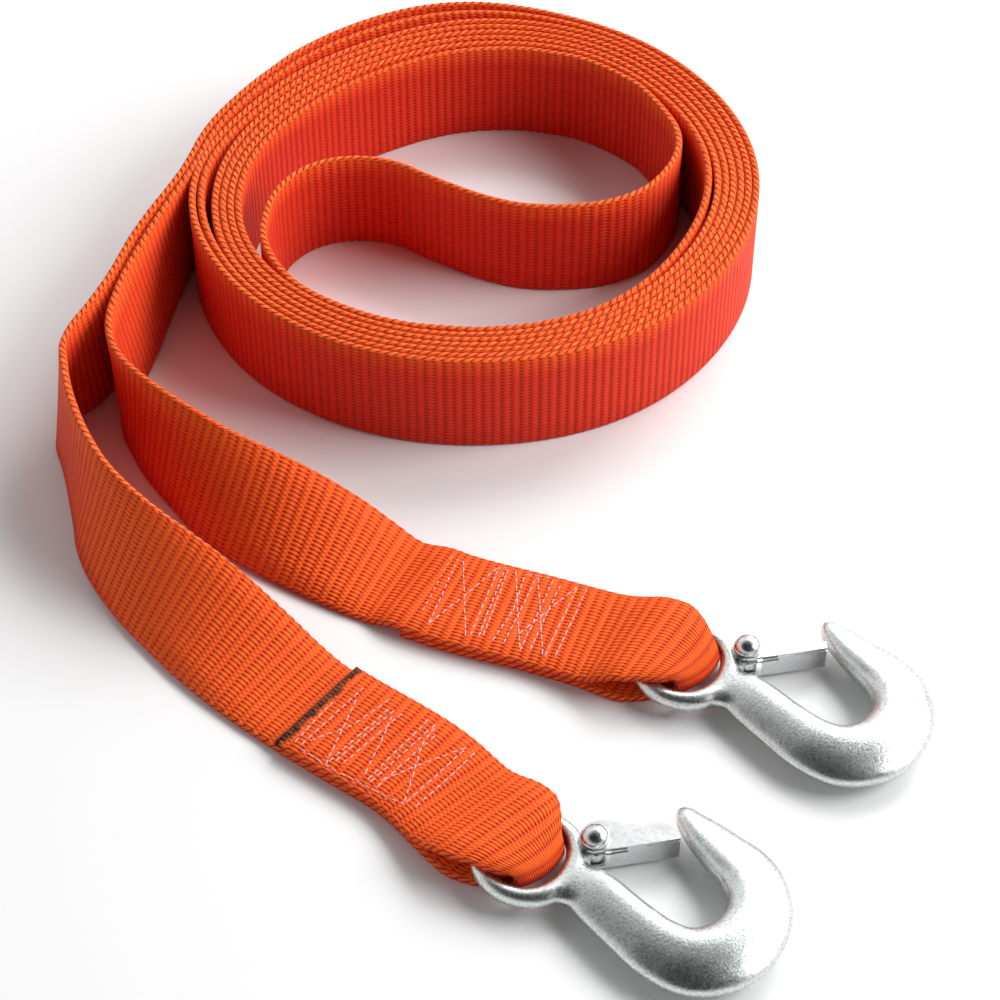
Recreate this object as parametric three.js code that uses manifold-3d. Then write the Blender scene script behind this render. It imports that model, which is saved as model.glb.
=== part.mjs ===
// Tow strap: flat webbing wound on edge into a double coil, with a forged eye hook sewn into each end.
// Millimetres, +Z up, standing on z = 0. Plan positions are measured from the middle of the coil.
import * as THREE from 'three';
import { mergeVertices } from 'three/addons/utils/BufferGeometryUtils.js';
import Module from 'manifold-3d';

const wasm = await Module();
wasm.setup();

// Where the middle of the coil lies in the part's own frame
const COIL_X = 0.54;
const COIL_Y = 145;

// Webbing
const WEB_WIDTH = 50;
const WEB_THICKNESS = 3.1;
const LAYER_GAP = 0.35;
const FLOOR_LAYER = WEB_THICKNESS / 2;
const UPPER_LAYER = FLOOR_LAYER + WEB_THICKNESS + LAYER_GAP;

// Coil, seen from above: two strands wind outward together, anticlockwise. A strand climbs one level
// in each half turn, and a level is one layer of webbing. Degrees count from +X.
const COIL_STEP = 7.5;
// Middle of level 0, and the pitch of the levels, in twelve directions from +X, 30 degrees apart
const LEVEL_ZERO = [108.4, 105, 104, 96.8, 91.4, 93.3, 105, 114, 114.8, 114, 113.8, 110.2];
const LEVEL_PITCH = [3.53, 3.8, 4.07, 4.94, 4.57, 4.5, 3.77, 3.45, 3.45, 3.45, 3.47, 3.54];
// Openings between layers: what lies beyond the level (inside it where size is negative) moves by size
// around one direction, fading out to either side over the reach
const OPENINGS = [
  { level: 4, at: 183, reach: 32, size: 3.4 },
  { level: 5, at: 193, reach: 25, size: 0.5 },
  { level: 5.6, at: 115, reach: 60, size: 4.6 },
  { level: 6.6, at: 108, reach: 45, size: 3.8 },
  { level: 1, at: 335, reach: 45, size: -1.7 },
  { level: 0.6, at: 120, reach: 40, size: -1.4 },
];
const FRONT_STRAND = { levelAtBack: 1, start: -120, end: 1215 };
const REAR_STRAND = { levelAtBack: 0, start: 45, end: 1215 };

// The S in the middle of the coil that joins the two strands, from left to right
const MIDDLE = [
  [-94.5, -54], [-95.6, -38], [-92, -18], [-82, -2], [-68, 6.5], [-53, 8.3], [-38, 5], [-20, -6.5],
  [0, -18.5], [20, -26.5], [42, -28], [62, -24.6], [79, -15.1], [89.5, -1.5], [95.5, 13], [96.5, 30],
];
const MIDDLE_STEPS = 40;

// The two tails from the eye of the hook back to the coil: x, y and lean, which is 0 where the webbing
// stands on its edge and 90 where it lies flat. The first two points of each give the hook's place:
// a point beyond the eye, then the middle of the eye.
const FRONT_TAIL = [
  [30.1, -375.6, 90], [22.8, -367.4, 90], [3, -344.5, 90], [-16.8, -323.5, 90], [-34, -310.5, 90],
  [-50.5, -298.5, 90], [-68, -285, 90], [-91, -266.5, 75], [-114, -247.7, 55], [-138.8, -225.8, 35],
  [-155.5, -204, 23], [-164.6, -183, 13], [-173.2, -157, 8], [-178.6, -138, 9], [-180.4, -127.5, 10],
  [-177.3, -118, 0], [-170, -106, -6], [-160, -80, -7], [-150, -45, -8], [-136.2, 0, 0],
];
const REAR_TAIL = [
  [98.6, -285.4, 90], [86.6, -272.2, 90], [62, -257, 90], [34, -246.4, 90], [11.8, -239.5, 90],
  [-12, -230.5, 90], [-31, -220.6, 90], [-60, -207, 68], [-91, -193, 43], [-109, -182, 30],
  [-123.5, -168.5, 20], [-137.3, -154, 12], [-148.4, -138.5, 4], [-155.3, -124.8, 0],
  [-157, -109.4, -5], [-155.2, -97, -9], [-152, -79, -11], [-143.4, -40, -6], [-132.4, 0, 0],
];
const TAIL_STEP = 13;

// Sewn end: the webbing is folded back over itself by this length, measured from the middle of the eye
const FOLD_LENGTH = 114;
const FOLD_STEP = 15;
const RAMP_START = 3;
const RAMP_LENGTH = 13;
// The webbing's way round the eye, from the upper layer to the lower one: distance from the middle of
// the eye (negative towards the coil), height of the webbing's middle, its bunched width, and how far
// it has slipped sideways on the eye
const EYE_FOLD = [
  [-66, UPPER_LAYER, WEB_WIDTH, -0.5], [-55, 5.3, WEB_WIDTH, -1.2], [-45, 6.2, WEB_WIDTH, -2.2],
  [-36, 7.4, WEB_WIDTH, -2.8], [-28.5, 10.3, WEB_WIDTH, -2.8], [-21, 13.4, WEB_WIDTH, -1.8],
  [-15, 14.1, 49, -0.6], [-10.5, 14.1, 46, 0.6], [-4, 14, 39, 0.2], [1.5, 13.6, 31, -0.4],
  [4.6, 12.2, 25, 0], [5.6, 8.3, 24, 0], [2.4, 4.3, 27, 0], [-4, 2.1, 35, 0],
  [-9, FLOOR_LAYER, 42, -0.4], [-18, FLOOR_LAYER, 49, -1.4], [-28, FLOOR_LAYER, WEB_WIDTH, -1.6],
  [-40, FLOOR_LAYER, WEB_WIDTH, -1.2], [-54, FLOOR_LAYER, WEB_WIDTH, -0.6],
];

// Hook, in its own frame: the middle of the eye is the origin, and the shank runs to +X and -Y
const HOOK_HEIGHT = 8;
const FRONT_HOOK_TURN = 0;
const REAR_HOOK_TURN = 0;
const EYE_RADIUS = 18.7;
const EYE_BAR_RADIUS = 3.8;
const EYE_HOLE_RADIUS = EYE_RADIUS - EYE_BAR_RADIUS;
// Along the shank, the bowl and the tip: x, y, half width and half thickness
const HOOK_LINE = [
  [14.6, -10.2, 8.2, 4.4], [19, -13.4, 9.6, 5.4], [25.1, -18.9, 10.8, 6.3], [35.7, -30.8, 11.4, 7],
  [46.9, -41.8, 12.6, 7.6], [59.1, -47.4, 13.8, 8], [73.1, -43.6, 14, 8], [82.6, -31.5, 12.9, 7.9],
  [84.9, -19, 12.2, 7.5], [81.2, -7.6, 11.6, 6.9], [73.6, 1.8, 9.9, 6.1], [66.7, 10, 8, 5.3],
  [61.8, 16.3, 5.8, 4.7], [60.2, 19.2, 4.7, 4.2], [59, 21.6, 3.3, 3.1], [58.4, 22.9, 1.6, 1.6],
];
const HOOK_STEPS = 3;
const HOOK_SIDES = 14;
const HOOK_ROUNDING = 0.72;
const HOOK_OUTER_TAPER = 0.42;
const HOOK_FULLNESS = 1.186;

// Latch pivot on the hook's neck
const PIVOT_X = 24.9;
const PIVOT_Y = 4.6;
const LUG_RADIUS = 4.8;
const LUG_DEPTH = 4.1;
const LUG_RISE = 0.9;
const LUG_BOTTOM = HOOK_HEIGHT - LUG_DEPTH;
const LUG_TOP = HOOK_HEIGHT + LUG_RISE;
const MOVING_GAP = 0.35;

// Latch, a folded channel of sheet metal, in its own frame: the pivot is the origin and the tip is at +X
const LATCH_TURN = 2.5;
const LATCH_LENGTH = 31.9;
const LATCH_END_RADIUS = 6;
const LATCH_HEEL = 262;
const LATCH_BACK_RADIUS = 8.4;
const LATCH_SHOULDER = 78;
const LATCH_SLOT_START = 19;
const LATCH_SLOT = 0.8;
const LATCH_TIP_TOP = 1.8;
const LATCH_TIP_BOTTOM = -1.4;
const LATCH_WEB_START = 5.6;
const SHEET = 1.2;
const LATCH_HALF_HEIGHT = 5.7;

// Rivet
const RIVET_RADIUS = 2;
const RIVET_HEAD_RADIUS = 5.2;
const RIVET_HEAD_RIM = 0.9;
const RIVET_DOME_HEIGHT = 4.5;
const RIVET_FOOT_RADIUS = 4.4;
const RIVET_FOOT_HEIGHT = 1.5;

// Torsion spring of round wire round the rivet, between the lug and the upper side of the latch
const WIRE_RADIUS = 0.4;
const SPRING_PITCH = 0.84;
const SPRING_STEP = 30;
const SPRING_START = 110;
const SPRING_END = 955;
const SPRING_LEG = [3.5, 7.5, 12];

const web = new THREE.MeshStandardMaterial({ color: 0xf4571b, roughness: 0.8, metalness: 0 });
const zinc = new THREE.MeshStandardMaterial({ color: 0xb9bfc0, roughness: 0.34, metalness: 1 });
const sheet = new THREE.MeshStandardMaterial({ color: 0xd3d7d8, roughness: 0.26, metalness: 1 });
const wire = new THREE.MeshStandardMaterial({ color: 0xa9aeb0, roughness: 0.3, metalness: 1 });

const UP = new THREE.Vector3(0, 0, 1);
const radians = THREE.MathUtils.degToRad;

// Curve through four numbers: the value at t, from 0 at b to 1 at c
function through(a, b, c, d, t) {
  const bend = 2 * a - 5 * b + 4 * c - d;
  const twist = 3 * b - a - 3 * c + d;
  return (2 * b + (c - a) * t + bend * t * t + twist * t * t * t) / 2;
}

// Smooth value in any direction from values given at even steps round the circle
function around(values, degrees) {
  const place = THREE.MathUtils.euclideanModulo(degrees, 360) / (360 / values.length);
  const first = Math.floor(place);
  const value = (k) => values[(first + k + values.length) % values.length];
  return through(value(-1), value(0), value(1), value(2), place - first);
}

// Rows of numbers with extra rows between them on smooth curves
function refine(rows, steps) {
  const row = (i) => rows[THREE.MathUtils.clamp(i, 0, rows.length - 1)];
  const fine = [];
  for (let i = 0; i < rows.length - 1; i += 1) {
    for (let k = 0; k < steps; k += 1) {
      const t = k / steps;
      fine.push(row(i).map((b, n) => through(row(i - 1)[n], b, row(i + 1)[n], row(i + 2)[n], t)));
    }
  }
  fine.push(rows[rows.length - 1]);
  return fine;
}

// Position of a strand's middle line in plan at an unwrapped angle
function coilPoint(strand, degrees) {
  const level = strand.levelAtBack + (degrees - 90) / 180;
  let radius = around(LEVEL_ZERO, degrees) + around(LEVEL_PITCH, degrees) * level;
  for (const opening of OPENINGS) {
    const away = THREE.MathUtils.euclideanModulo(degrees - opening.at + 180, 360) - 180;
    const beyond = opening.size > 0 ? level > opening.level : level < opening.level;
    if (beyond && Math.abs(away) < opening.reach) {
      radius += opening.size * Math.cos((away / opening.reach) * (Math.PI / 2)) ** 2;
    }
  }
  const angle = radians(degrees);
  return new THREE.Vector3(radius * Math.cos(angle), radius * Math.sin(angle), 0);
}

function coilPoints(strand) {
  const points = [];
  for (let degrees = strand.start; degrees <= strand.end; degrees += COIL_STEP) {
    points.push(coilPoint(strand, degrees));
  }
  return points;
}

// A station of the webbing: its middle, the direction across it, and its width
function standing(point) {
  return { point: new THREE.Vector3(point.x, point.y, WEB_WIDTH / 2), across: UP, width: WEB_WIDTH };
}

// A tail as a curve from beyond the eye to the coil; its third value carries the lean
function tailCurve(tail, strand) {
  const leanScale = 0.01;
  const points = tail.map(([x, y, lean]) => new THREE.Vector3(x, y, lean * leanScale));
  for (const back of [1, 2, 3]) {
    points.push(coilPoint(strand, strand.end + COIL_STEP * 2 * (3 - back)));
  }
  const curve = new THREE.CatmullRomCurve3(points, false, 'centripetal');
  curve.arcLengthDivisions = 2000;
  const beyond = Math.hypot(tail[0][0] - tail[1][0], tail[0][1] - tail[1][1]);
  const length = curve.getLength();
  return {
    length: length - beyond,
    station(distance, height, width, aside = 0) {
      const u = Math.min((beyond - distance) / length, 1);
      const place = curve.getPointAt(u);
      const along = curve.getTangentAt(u);
      const lean = radians(Math.min(place.z / leanScale, 90));
      const inner = new THREE.Vector3(along.y, -along.x, 0).normalize();
      const across = inner.multiplyScalar(Math.sin(lean)).addScaledVector(UP, Math.cos(lean));
      const rest = (WEB_WIDTH / 2) * Math.cos(lean) + FLOOR_LAYER * Math.abs(Math.sin(lean));
      const point = new THREE.Vector3(place.x, place.y, height ?? rest);
      return { point: point.addScaledVector(across, aside), across, width };
    },
  };
}

// Stations between two distances, with an even step no longer than the one asked for
function stretch(curve, from, to, step, height) {
  const count = Math.ceil(Math.abs(to - from) / step);
  const stations = [];
  for (let i = 0; i <= count; i += 1) {
    const distance = from + ((to - from) * i) / count;
    stations.push(curve.station(distance, height, WEB_WIDTH));
  }
  return stations;
}

// The whole strap as stations, from the cut end on the front hook to the one under the rear hook
function strapStations() {
  const front = tailCurve(FRONT_TAIL, FRONT_STRAND);
  const rear = tailCurve(REAR_TAIL, REAR_STRAND);
  const eye = (curve) => EYE_FOLD.map((place) => curve.station(...place));
  const foldTop = EYE_FOLD[0][0] - FOLD_STEP;
  const foldBottom = EYE_FOLD[EYE_FOLD.length - 1][0] - FOLD_STEP;
  const rampTop = -FOLD_LENGTH - RAMP_START;
  const rampFoot = rampTop - RAMP_LENGTH;
  const frontCoil = coilPoints(FRONT_STRAND);
  const rearCoil = coilPoints(REAR_STRAND);
  const middle = new THREE.CatmullRomCurve3([
    ...frontCoil.slice(0, 5).filter((p, i) => i % 2 === 0).reverse(),
    ...[coilPoint(FRONT_STRAND, FRONT_STRAND.start - COIL_STEP * 2)],
    ...MIDDLE.map(([x, y]) => new THREE.Vector3(x, y, 0)),
    ...[coilPoint(REAR_STRAND, REAR_STRAND.start - COIL_STEP)],
    ...rearCoil.slice(0, 5).filter((p, i) => i % 2 === 0),
  ], false, 'centripetal');
  return [
    ...stretch(front, -FOLD_LENGTH, foldTop, FOLD_STEP, UPPER_LAYER),
    ...eye(front),
    ...stretch(front, foldBottom, -front.length, TAIL_STEP).slice(0, -1),
    ...frontCoil.slice(5).reverse().map(standing),
    ...middle.getSpacedPoints(MIDDLE_STEPS).map(standing),
    ...rearCoil.slice(5).map(standing),
    ...stretch(rear, -rear.length, rampFoot, TAIL_STEP).slice(1),
    ...stretch(rear, rampTop, foldTop, FOLD_STEP, UPPER_LAYER),
    ...eye(rear),
    ...stretch(rear, foldBottom, -FOLD_LENGTH, FOLD_STEP, FLOOR_LAYER),
  ];
}

// Closed body through rings of corners, one ring for each station, with flat ends
function skin(rings) {
  const sides = rings[0].length;
  const index = [];
  for (let i = 0; i < rings.length - 1; i += 1) {
    for (let k = 0; k < sides; k += 1) {
      const a = i * sides + k;
      const b = i * sides + ((k + 1) % sides);
      index.push(a, b, b + sides, a, b + sides, a + sides);
    }
  }
  const last = (rings.length - 1) * sides;
  for (let k = 1; k < sides - 1; k += 1) {
    index.push(0, k + 1, k);
    index.push(last, last + k, last + k + 1);
  }
  const geometry = new THREE.BufferGeometry();
  const positions = rings.flat().flatMap((corner) => corner.toArray());
  geometry.setAttribute('position', new THREE.Float32BufferAttribute(positions, 3));
  geometry.setIndex(index);
  return geometry;
}

function strapGeometry() {
  const stations = strapStations();
  const last = stations.length - 1;
  const rings = stations.map(({ point, across, width }, i) => {
    const before = stations[Math.max(i - 1, 0)].point;
    const after = stations[Math.min(i + 1, last)].point;
    const normal = after.clone().sub(before).cross(across).normalize();
    const corners = [[-1, -1], [1, -1], [1, 1], [-1, 1]];
    return corners.map(([side, face]) => point.clone()
      .addScaledVector(across, (side * width) / 2)
      .addScaledVector(normal, (face * WEB_THICKNESS) / 2));
  });
  return skin(rings);
}

// Between three.js geometry and solids that can be joined and cut
function toSolid(geometry) {
  const plain = geometry.clone();
  plain.deleteAttribute('normal');
  plain.deleteAttribute('uv');
  const merged = mergeVertices(plain, 1e-4);
  return new wasm.Manifold(new wasm.Mesh({
    numProp: 3,
    vertProperties: Float32Array.from(merged.attributes.position.array),
    triVerts: Uint32Array.from(merged.index.array),
  }));
}

function toGeometry(solid) {
  const mesh = solid.getMesh();
  const geometry = new THREE.BufferGeometry();
  geometry.setAttribute('position', new THREE.BufferAttribute(mesh.vertProperties, 3));
  geometry.setIndex(new THREE.BufferAttribute(mesh.triVerts, 1));
  return geometry;
}

// Upright round bar between two heights
function post(radius, bottom, top, x = 0, y = 0, sides = 28) {
  const geometry = new THREE.CylinderGeometry(radius, radius, top - bottom, sides);
  geometry.rotateX(Math.PI / 2);
  geometry.translate(x, y, (top + bottom) / 2);
  return toSolid(geometry);
}

// Shank, bowl and tip: a rounded section, thick on its inner side and thin on its outer side
function hookArm() {
  const rows = refine(HOOK_LINE, HOOK_STEPS);
  const last = rows.length - 1;
  const soften = (value) => Math.sign(value) * Math.abs(value) ** HOOK_ROUNDING;
  const rings = rows.map(([x, y, halfWidth, halfThickness], i) => {
    const before = rows[Math.max(i - 1, 0)];
    const after = rows[Math.min(i + 1, last)];
    const outward = new THREE.Vector3(after[1] - before[1], before[0] - after[0], 0).normalize();
    const corners = [];
    for (let k = 0; k < HOOK_SIDES; k += 1) {
      const turn = (-2 * Math.PI * (k + 0.5)) / HOOK_SIDES;
      const across = soften(Math.cos(turn));
      const taper = 1 - (HOOK_OUTER_TAPER * (1 + across)) / 2;
      const rise = soften(Math.sin(turn)) * taper * halfThickness * HOOK_FULLNESS;
      corners.push(new THREE.Vector3(x, y, HOOK_HEIGHT)
        .addScaledVector(outward, across * halfWidth)
        .addScaledVector(UP, rise));
    }
    return corners;
  });
  return toSolid(skin(rings));
}

function hookGeometry() {
  const ring = new THREE.TorusGeometry(EYE_RADIUS, EYE_BAR_RADIUS, 12, 40);
  ring.translate(0, 0, HOOK_HEIGHT);
  const tall = HOOK_HEIGHT * 3;
  const relief = LATCH_END_RADIUS + MOVING_GAP * 2;
  const latchBottom = HOOK_HEIGHT - LATCH_HALF_HEIGHT;
  const latchTop = HOOK_HEIGHT + LATCH_HALF_HEIGHT;
  const lowerSide = latchBottom + SHEET + MOVING_GAP;
  const upperSide = latchTop - SHEET - MOVING_GAP;
  return toGeometry(hookArm()
    .subtract(post(EYE_HOLE_RADIUS, -tall, tall))
    .add(toSolid(ring))
    .subtract(post(relief, upperSide, tall, PIVOT_X, PIVOT_Y))
    .subtract(post(relief, -tall, lowerSide, PIVOT_X, PIVOT_Y))
    .subtract(post(relief, LUG_TOP, tall, PIVOT_X, PIVOT_Y))
    .add(post(LUG_RADIUS, LUG_BOTTOM, LUG_TOP, PIVOT_X, PIVOT_Y))
    .subtract(post(RIVET_RADIUS + MOVING_GAP, -tall, tall, PIVOT_X, PIVOT_Y)));
}

// Lower edge of the latch's sides, a straight line from the round end to the tip
function latchEdge(x) {
  const heel = radians(LATCH_HEEL);
  const heelX = LATCH_END_RADIUS * Math.cos(heel);
  const heelY = LATCH_END_RADIUS * Math.sin(heel);
  return heelY + ((LATCH_TIP_BOTTOM - heelY) * (x - heelX)) / (LATCH_LENGTH - heelX);
}

// One side of the latch: round about the pivot, fuller at the back, and narrowing to the tip
function latchSide(bottom) {
  const outline = new THREE.Shape();
  const backX = LATCH_BACK_RADIUS - LATCH_END_RADIUS;
  outline.absarc(backX, 0, LATCH_BACK_RADIUS, radians(LATCH_SHOULDER), Math.PI, false);
  outline.absarc(0, 0, LATCH_END_RADIUS, Math.PI, radians(LATCH_HEEL), false);
  outline.lineTo(LATCH_LENGTH, LATCH_TIP_BOTTOM);
  outline.lineTo(LATCH_LENGTH, LATCH_TIP_TOP);
  const geometry = new THREE.ExtrudeGeometry(outline, {
    depth: SHEET, bevelEnabled: false, curveSegments: 14,
  });
  geometry.translate(0, 0, bottom);
  return toSolid(geometry);
}

function latchGeometry() {
  const bottom = HOOK_HEIGHT - LATCH_HALF_HEIGHT;
  const top = HOOK_HEIGHT + LATCH_HALF_HEIGHT;
  const wall = new THREE.Shape();
  wall.moveTo(LATCH_WEB_START, latchEdge(LATCH_WEB_START));
  wall.lineTo(LATCH_LENGTH, latchEdge(LATCH_LENGTH));
  wall.lineTo(LATCH_LENGTH, latchEdge(LATCH_LENGTH) + SHEET);
  wall.lineTo(LATCH_WEB_START, latchEdge(LATCH_WEB_START) + SHEET);
  const channel = new THREE.ExtrudeGeometry(wall, { depth: top - bottom, bevelEnabled: false });
  channel.translate(0, 0, bottom);
  const slotLength = LATCH_LENGTH;
  const slot = new THREE.BoxGeometry(slotLength, LATCH_END_RADIUS, LATCH_SLOT);
  slot.translate(LATCH_SLOT_START + slotLength / 2, LATCH_TIP_BOTTOM, top - SHEET - LATCH_SLOT / 2);
  const solid = toSolid(channel)
    .subtract(toSolid(slot))
    .add(latchSide(bottom))
    .add(latchSide(top - SHEET))
    .subtract(post(RIVET_RADIUS + MOVING_GAP, bottom - SHEET, top + SHEET));
  return toGeometry(solid);
}

// Rivet with a domed head on top and a flat foot below, clear of the latch's two sides
function rivetGeometry() {
  const headBottom = HOOK_HEIGHT + LATCH_HALF_HEIGHT + MOVING_GAP;
  const domeBottom = headBottom + RIVET_HEAD_RIM;
  const footTop = HOOK_HEIGHT - LATCH_HALF_HEIGHT - MOVING_GAP;
  const profile = [
    new THREE.Vector2(0, footTop - RIVET_FOOT_HEIGHT),
    new THREE.Vector2(RIVET_FOOT_RADIUS, footTop - RIVET_FOOT_HEIGHT),
    new THREE.Vector2(RIVET_FOOT_RADIUS, footTop),
    new THREE.Vector2(RIVET_RADIUS, footTop),
    new THREE.Vector2(RIVET_RADIUS, headBottom),
    new THREE.Vector2(RIVET_HEAD_RADIUS, headBottom),
  ];
  const domeSteps = 6;
  for (let i = 0; i <= domeSteps; i += 1) {
    const angle = (i / domeSteps) * (Math.PI / 2);
    const radius = i === domeSteps ? 0 : RIVET_HEAD_RADIUS * Math.cos(angle);
    profile.push(new THREE.Vector2(radius, domeBottom + RIVET_DOME_HEIGHT * Math.sin(angle)));
  }
  const geometry = new THREE.LatheGeometry(profile, 24);
  geometry.rotateX(Math.PI / 2);
  geometry.scale(1, -1, 1);
  return toGeometry(toSolid(flip(geometry)));
}

// Turns every face over, after a mirror
function flip(geometry) {
  const index = geometry.index.array;
  for (let i = 0; i < index.length; i += 3) {
    [index[i], index[i + 1]] = [index[i + 1], index[i]];
  }
  return geometry;
}

// Spring wire in the latch's frame: a short leg that bears on the hook's pocket, the turns round the
// rivet, and a long leg that lies along the outer face of the latch's wall and pushes it shut
function springGeometry() {
  const radius = RIVET_RADIUS + MOVING_GAP * 2 + WIRE_RADIUS;
  const base = LUG_TOP + MOVING_GAP + WIRE_RADIUS;
  const top = base + ((SPRING_END - SPRING_START) / 360) * SPRING_PITCH;
  const points = [new THREE.Vector3(2, 4, base)];
  for (let degrees = SPRING_START; degrees <= SPRING_END; degrees += SPRING_STEP) {
    const angle = radians(degrees);
    const height = base + ((degrees - SPRING_START) / 360) * SPRING_PITCH;
    points.push(new THREE.Vector3(radius * Math.cos(angle), radius * Math.sin(angle), height));
  }
  const legOffset = WIRE_RADIUS + MOVING_GAP;
  for (const x of SPRING_LEG) {
    points.push(new THREE.Vector3(x, latchEdge(x) - legOffset, top));
  }
  const path = new THREE.CatmullRomCurve3(points, false, 'centripetal');
  const section = new THREE.Shape();
  section.absarc(0, 0, WIRE_RADIUS, 0, 2 * Math.PI, false);
  return new THREE.ExtrudeGeometry(section, {
    steps: points.length * 2, curveSegments: 6, bevelEnabled: false, extrudePath: path,
  });
}

function piece(name, geometry, material) {
  const mesh = new THREE.Mesh(geometry, material);
  mesh.name = name;
  return mesh;
}

function hookGroup(end, tail, turn) {
  const group = new THREE.Group();
  const [x, y] = tail[1];
  group.position.set(x, y, 0);
  group.rotation.z = radians(turn);
  group.add(piece(`hook_${end}`, hookGeometry(), zinc));
  const pivot = new THREE.Group();
  pivot.position.set(PIVOT_X, PIVOT_Y, 0);
  pivot.rotation.z = radians(LATCH_TURN);
  pivot.add(piece(`latch_${end}`, latchGeometry(), sheet));
  pivot.add(piece(`rivet_${end}`, rivetGeometry(), zinc));
  pivot.add(piece(`spring_${end}`, springGeometry(), wire));
  group.add(pivot);
  return group;
}

const towStrap = new THREE.Group();
towStrap.position.set(COIL_X, COIL_Y, 0);
towStrap.add(piece('strap', strapGeometry(), web));
towStrap.add(hookGroup('front', FRONT_TAIL, FRONT_HOOK_TURN));
towStrap.add(hookGroup('rear', REAR_TAIL, REAR_HOOK_TURN));

export default towStrap;
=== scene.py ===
import math

import bpy
import numpy as np
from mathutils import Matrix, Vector


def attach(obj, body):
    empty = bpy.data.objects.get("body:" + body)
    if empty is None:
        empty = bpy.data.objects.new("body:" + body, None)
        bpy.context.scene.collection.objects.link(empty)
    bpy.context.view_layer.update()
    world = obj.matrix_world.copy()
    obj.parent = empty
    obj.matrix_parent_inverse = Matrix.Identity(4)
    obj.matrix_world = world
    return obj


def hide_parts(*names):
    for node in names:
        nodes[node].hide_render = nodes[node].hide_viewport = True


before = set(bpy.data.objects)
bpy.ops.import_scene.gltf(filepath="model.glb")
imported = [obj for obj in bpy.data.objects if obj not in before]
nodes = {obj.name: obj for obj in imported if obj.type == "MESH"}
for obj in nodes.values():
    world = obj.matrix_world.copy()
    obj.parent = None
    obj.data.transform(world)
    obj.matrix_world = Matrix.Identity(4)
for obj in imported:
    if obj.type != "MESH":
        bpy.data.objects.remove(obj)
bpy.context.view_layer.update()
ROOT = "strap_and_hooks"
MM = 0.001
# Middle of the coil on the floor, in millimetres
COIL = (0.54, 145.0)

# Camera, placed in millimetres and pitched down in degrees

CAMERA_PLACE = (12.54, -782.0, 757.0)
CAMERA_PITCH = 45
CAMERA_LENS = 88.92
CAMERA_SENSOR = 36

camera_data = bpy.data.cameras.new("camera")
camera_data.sensor_width = CAMERA_SENSOR
camera_data.lens = CAMERA_LENS
camera_data.clip_start = 0.01
camera_data.clip_end = 50
camera = bpy.data.objects.new("camera", camera_data)
camera.location = [v * MM for v in CAMERA_PLACE]
camera.rotation_euler = (math.radians(90 - CAMERA_PITCH), 0, 0)
bpy.context.scene.collection.objects.link(camera)
bpy.context.scene.camera = camera

# Route of the webbing, in millimetres from the middle of the coil

WEB_WIDTH = 50
WEB_THICKNESS = 3.1
FLOOR_LAYER = WEB_THICKNESS / 2
LAYER_GAP = 0.35
UPPER_LAYER = FLOOR_LAYER + WEB_THICKNESS + LAYER_GAP
# Degrees between the stations of the coil
COIL_STEP = 7.5
# Radius at level 0 and the step to the next level, every 30 degrees round the coil from +X
LEVEL_ZERO = [108.4, 105, 104, 96.8, 91.4, 93.3, 105, 114, 114.8, 114, 113.8, 110.2]
LEVEL_PITCH = [3.53, 3.8, 4.07, 4.94, 4.57, 4.5, 3.77, 3.45, 3.45, 3.45, 3.47, 3.54]
# Gaps between the layers: the level, the direction and half the reach in degrees, and the size. Above 0
# it moves the layers outside the gap out, below 0 the layers inside it in.
OPENINGS = [(4, 183, 32, 3.4), (5, 193, 25, 0.5), (5.6, 115, 60, 4.6), (6.6, 108, 45, 3.8),
            (1, 335, 45, -1.7), (0.6, 120, 40, -1.4)]
# Each strand of the coil: its level at 90 degrees, and the directions where it starts and ends
FRONT_STRAND = (1, -120, 1215)
REAR_STRAND = (0, 45, 1215)
# The S that joins both strands in the middle of the coil
MIDDLE = [(-94.5, -54), (-95.6, -38), (-92, -18), (-82, -2), (-68, 6.5), (-53, 8.3), (-38, 5),
          (-20, -6.5), (0, -18.5), (20, -26.5), (42, -28), (62, -24.6), (79, -15.1), (89.5, -1.5),
          (95.5, 13), (96.5, 30)]
# Tails as place and lean from upright in degrees, from the hook back to the coil. The second point of each
# is the middle of its eye.
FRONT_TAIL = [(30.1, -375.6, 90), (22.8, -367.4, 90), (3, -344.5, 90), (-16.8, -323.5, 90),
              (-34, -310.5, 90), (-50.5, -298.5, 90), (-68, -285, 90), (-91, -266.5, 75),
              (-114, -247.7, 55), (-138.8, -225.8, 35), (-155.5, -204, 23), (-164.6, -183, 13),
              (-173.2, -157, 8), (-178.6, -138, 9), (-180.4, -127.5, 10), (-177.3, -118, 0),
              (-170, -106, -6), (-160, -80, -7), (-150, -45, -8), (-136.2, 0, 0)]
REAR_TAIL = [(98.6, -285.4, 90), (86.6, -272.2, 90), (62, -257, 90), (34, -246.4, 90),
             (11.8, -239.5, 90), (-12, -230.5, 90), (-31, -220.6, 90), (-60, -207, 68),
             (-91, -193, 43), (-109, -182, 30), (-123.5, -168.5, 20), (-137.3, -154, 12),
             (-148.4, -138.5, 4), (-155.3, -124.8, 0), (-157, -109.4, -5), (-155.2, -97, -9),
             (-152, -79, -11), (-143.4, -40, -6), (-132.4, 0, 0)]
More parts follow.
